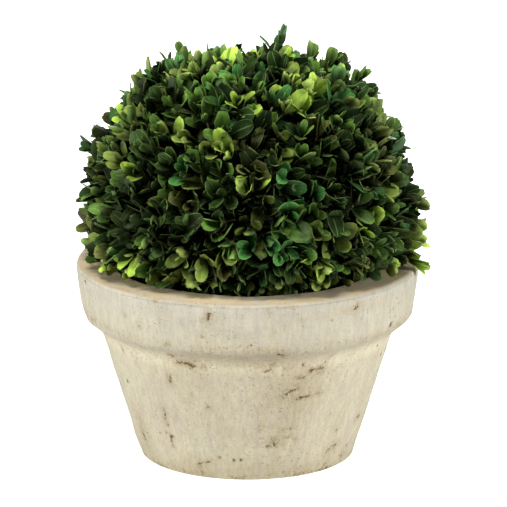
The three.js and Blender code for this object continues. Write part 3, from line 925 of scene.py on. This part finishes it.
class BuildPot(bpy.types.Operator):
    """Turn the pot with its uneven wall, pits and scratches"""

    bl_idname = "box_ball.build_pot"
    bl_label = "Build pot"

    def execute(self, context):
        pot = context.scene.box_ball_pot
        inner = [
            *round_corner(MOUTH_RADIUS + LIP_ROUND, POT_HEIGHT - LIP_ROUND, LIP_ROUND, 90, 165),
            INNER_WALL[-1],
            (radius_at(SOIL_TOP - 8 * MM, INNER_WALL), SOIL_TOP - 8 * MM),
        ]
        outer = finer(OUTER_WALL, pot.step)
        profile = np.concatenate([[(AXIS_GAP, 0.0)], outer, finer(inner, 2 * pot.step)])
        places, quads = turned(profile, pot.sides)
        wall = np.clip((places[:, 2] - 2 * MM) / (6 * MM), 0, 1)
        shift = waves(places, 34 * MM, 1) + 0.45 * waves(places, 9 * MM, 2) + 0.2 * waves(places, 3.5 * MM, 3)
        pits, pit_wear = scattered_pits(places, pot.pit_count)
        wear, halo = front_marks(places)
        edges = worn_edges(places)
        outward = pot.unevenness * shift * wall - pits - MARK_DEPTH * wear
        places = places + unit(places * [1, 1, 0]) * outward[:, None]
        lip = np.clip((places[:, 2] - (POT_HEIGHT - 3 * MM)) / (3 * MM), 0, 1)
        places[:, 2] += lip * 0.5 * MM * (waves(places, 22 * MM, 4) - 0.6)
        halo = np.maximum(halo, 1.6 * (pit_wear + edges)) + stained(places)
        # The lip's sandy colour, and painted shade on its outer edge.
        sandy, edge = lip_masks(places)
        wear = np.clip(pit_wear + wear + edges, 0, 1)
        masks = {"wear": wear, "halo": np.clip(halo, 0, 1), "lip": sandy, "edge": edge}
        add_piece("clay_pot", places, [quads], [wash_finish(pot)], ["pot"], masks=masks)
        return {"FINISHED"}


class BuildSoil(bpy.types.Operator):
    """Fill the pot with crumbly soil"""

    bl_idname = "box_ball.build_soil"
    bl_label = "Build soil"

    def execute(self, context):
        shrub = context.scene.box_ball_shrub
        edge = radius_at(SOIL_TOP, INNER_WALL) - SEAT_GAP
        low = SOIL_TOP - 6 * MM
        profile = finer([(AXIS_GAP, SOIL_TOP), (edge, SOIL_TOP)], 1.8 * MM)
        profile = np.concatenate([profile, [(radius_at(low, INNER_WALL) - SEAT_GAP, low)]])
        places, quads = turned(profile, 220)
        crumbs = 1.1 * waves(places, 6 * MM, 11) + 0.9 * waves(places, 2.6 * MM, 12)
        places[:, 2] += (places[:, 2] > SOIL_TOP - 0.1 * MM) * MM * (crumbs - 1.2)
        add_piece("potting_soil", places, [quads[:, ::-1]], [soil_finish(shrub)], ["soil"])
        return {"FINISHED"}


class BuildWood(bpy.types.Operator):
    """Grow the stem, the boughs that fork from it, their twigs and the twigs' sprigs"""

    bl_idname = "box_ball.build_wood"
    bl_label = "Build stem, boughs and twigs"

    def execute(self, context):
        shrub = context.scene.box_ball_shrub
        wood = Skeleton(shrub)
        foot = SOIL_TOP + SEAT_GAP
        heights = np.linspace(foot, FORK_HEIGHT, 26)
        share = np.clip((heights - foot) / (STEM_TOP - foot), 0, 1)
        radii = np.interp(heights, [STEM_TOP, FORK_HEIGHT], [STEM_RADIUS, FORK_RADIUS])
        radii += (STEM_FOOT_RADIUS - STEM_RADIUS) * (1 - share) ** 2
        across = BALL_CENTRE[0] + STEM_LEAN * np.minimum(heights - STEM_TOP, 0)
        centres = np.stack([across, 0 * heights, heights], axis=1)
        places, quads, _ = tubes(centres[None], radii, 40)
        self.roughen(places, centres)
        bark = wood_finish("bark", shrub.bark, 240)
        add_piece("stem_bark", places, [quads], [bark], ["main_stem"])
        forks = np.repeat(wood.fork[None], BOUGH_COUNT, axis=0)
        places, quads, _ = limbs(forks, wood.bough_ends, *BOUGHS)
        places += 0.5 * MM * np.stack([waves(places, 5 * MM, 20 + k) for k in range(3)], axis=1)
        add_piece("boughs", places, [quads], [bark], ["foliage_ball"])
        places, quads, _ = limbs(wood.twig_starts, wood.twig_ends, *TWIGS)
        paler = wood_finish("twig_bark", [1.2 * value for value in shrub.bark], 300)
        add_piece("twigs", places, [quads], [paler], ["foliage_ball"])
        places, quads, ends = limbs(wood.sprig_starts, wood.tips, *SPRIGS)
        young = wood_finish("young_wood", shrub.young_wood, 500)
        add_piece("sprigs", places, [quads, ends], [young], ["foliage_ball"])
        return {"FINISHED"}

    def roughen(self, places, centres):
        """Ridges of bark round the stem, kept inside its outline."""
        middle = np.stack([np.interp(places[:, 2], centres[:, 2], centres[:, 0]), 0 * places[:, 0]], axis=1)
        ridges = waves(places * [1, 1, 0.3], 3.2 * MM, 21) - 0.8
        places[:, :2] += unit(places[:, :2] - middle) * (0.5 * MM * ridges)[:, None]


class BuildLeaves(bpy.types.Operator):
    """Set pairs of leaves on every sprig, each spray in its own green"""

    bl_idname = "box_ball.build_leaves"
    bl_label = "Build leaves"

    def execute(self, context):
        shrub = context.scene.box_ball_shrub
        wood = Skeleton(shrub)
        leaves = Leaves(wood, shrub.leaf_ratio)
        chance = np.random.default_rng(31)
        green = greens_by_sprig(wood, chance)[leaves.sprig]
        # Leaves low on their sprigs, deep in the ball, get the darkest greens: older leaves, and painted
        # shade.
        is_old_shaded = chance.uniform(size=len(green)) < np.array(OLD_SHADED_SHARES)[leaves.pair]
        is_old_shaded &= ~wood.is_stray[leaves.sprig]
        green[is_old_shaded] = leaves.sprig[is_old_shaded] % OLD_SHADED_GREENS
        for number, (name, (upper, under, _, _)) in enumerate(GREENS.items()):
            chosen = np.flatnonzero(green == number)
            if not len(chosen):
                raise RuntimeError(f"no leaves are {name}")
            pale = [0.72 * own + 0.28 * added for own, added in zip(upper, PALE_GREEN)]
            sheen = 0.05 if number < OLD_SHADED_GREENS else 0.16
            materials = [
                blade_finish(f"{name}_face", upper, 0.42, sheen, 0.5),
                blade_finish(f"{name}_rib", pale, 0.5, sheen, 0.2),
                blade_finish(f"{name}_underside", under, 0.6, sheen, 0.4),
            ]
            places, quads, numbers, along, depth = leaves.mesh(chosen)
            masks = {"along": along, "depth": depth}
            piece = f"leaves_{name}"
            add_piece(piece, places, [quads], materials, ["foliage_ball"], numbers, masks)
        return {"FINISHED"}


# The camera looks down at the pot from far away, as through a long lens.
CAMERA_PLACE = (0.0039, -2.743, 0.8605)
CAMERA_AIM = (0.0039, 0.0, 0.1283)
CAMERA_LENS = 319.5
FLOOR_SIZE = 12.0
WHITE = (1.0, 1.0, 1.0, 1.0)
# The colour of the side lights, and how much stronger the right one is.
COOL = (0.91, 0.96, 1.0)
RIGHT_SHARE = 1.05


class BuildStudio(bpy.types.Operator):
    """Set the floor, the soft lights and the camera"""

    bl_idname = "box_ball.build_studio"
    bl_label = "Build studio"

    def execute(self, context):
        scene, studio = context.scene, context.scene.box_ball_studio
        mesh = bpy.data.meshes.new("floor")
        half = FLOOR_SIZE / 2
        corners = [(-half, -half, 0), (half, -half, 0), (half, half, 0), (-half, half, 0)]
        mesh.from_pydata(corners, [], [(0, 1, 2, 3)])
        finish = Finish("pale_floor", Roughness=0.9, Emission_Strength=0.95)
        finish.shader.inputs["Emission Color"].default_value = WHITE
        pale = finish.colour(studio.floor_colour)
        finish.set("Base Color", pale.times(finish.places.noise(3) * 0.02 + 0.99))
        mesh.materials.append(finish.material)
        floor = bpy.data.objects.new("floor", mesh)
        floor.visible_diffuse = False
        floor.visible_shadow = False
        scene.collection.objects.link(floor)
        self.light("key", (-0.25, -0.55, 2.02), 0.8, studio.key_power)
        self.light("left", (-1.7, -0.8, 0.55), 0.6, studio.side_power, COOL)
        self.light("right", (1.7, -0.8, 0.55), 0.6, RIGHT_SHARE * studio.side_power, COOL)
        self.light("fill", (0.0, -2.2, 0.35), 0.8, studio.fill_power)
        self.light("back", (0.4, 2.3, 0.9), 1.0, studio.back_power)
        self.light("below", (0.0, -1.2, -1.2), 1.6, studio.below_power)
        scene.world = bpy.data.worlds.new("studio")
        scene.world.use_nodes = True
        background = scene.world.node_tree.nodes["Background"]
        background.inputs["Color"].default_value = WHITE
        background.inputs["Strength"].default_value = studio.ambient
        scene.view_settings.view_transform = "Standard"
        lens = bpy.data.cameras.new("camera")
        lens.lens = CAMERA_LENS
        lens.clip_end = 50
        scene.camera = self.aimed("camera", lens, CAMERA_PLACE)
        return {"FINISHED"}

    def light(self, name, place, size, power, colour=WHITE[:3]):
        """A square soft light aimed at the ball."""
        lamp = bpy.data.lights.new(name, "AREA")
        lamp.color = colour
        lamp.shape = "SQUARE"
        lamp.size = size
        lamp.energy = power
        self.aimed(name, lamp, place)

    def aimed(self, name, data, place):
        """A light or camera at a place, turned to the middle of the picture."""
        holder = bpy.data.objects.new(name, data)
        holder.location = place
        holder.rotation_euler = (Vector(CAMERA_AIM) - Vector(place)).to_track_quat("-Z", "Y").to_euler()
        bpy.context.scene.collection.objects.link(holder)
        return holder


OPERATORS = [BuildPot, BuildSoil, BuildWood, BuildLeaves, BuildStudio]


class BoxBallPanel(bpy.types.Panel):
    """The build steps and settings in the sidebar"""

    bl_idname = "VIEW3D_PT_box_ball"
    bl_label = "Potted box ball"
    bl_space_type = "VIEW_3D"
    bl_region_type = "UI"
    bl_category = "Box ball"

    def draw(self, context):
        for operator in OPERATORS:
            self.layout.operator(operator.bl_idname)
        for name, group in SETTINGS.items():
            box = self.layout.box()
            for setting in group.__annotations__:
                box.prop(getattr(context.scene, name), setting)


CLASSES = [*SETTINGS.values(), *OPERATORS, BoxBallPanel]


def register():
    for cls in CLASSES:
        bpy.utils.register_class(cls)
    for name, group in SETTINGS.items():
        setattr(bpy.types.Scene, name, bpy.props.PointerProperty(type=group))


def unregister():
    for name in SETTINGS:
        delattr(bpy.types.Scene, name)
    for cls in reversed(CLASSES):
        bpy.utils.unregister_class(cls)


def main():
    register()
    bpy.ops.box_ball.build_pot()
    bpy.ops.box_ball.build_soil()
    bpy.ops.box_ball.build_wood()
    bpy.ops.box_ball.build_leaves()
    bpy.ops.box_ball.build_studio()


if __name__ == "__main__":
    main()
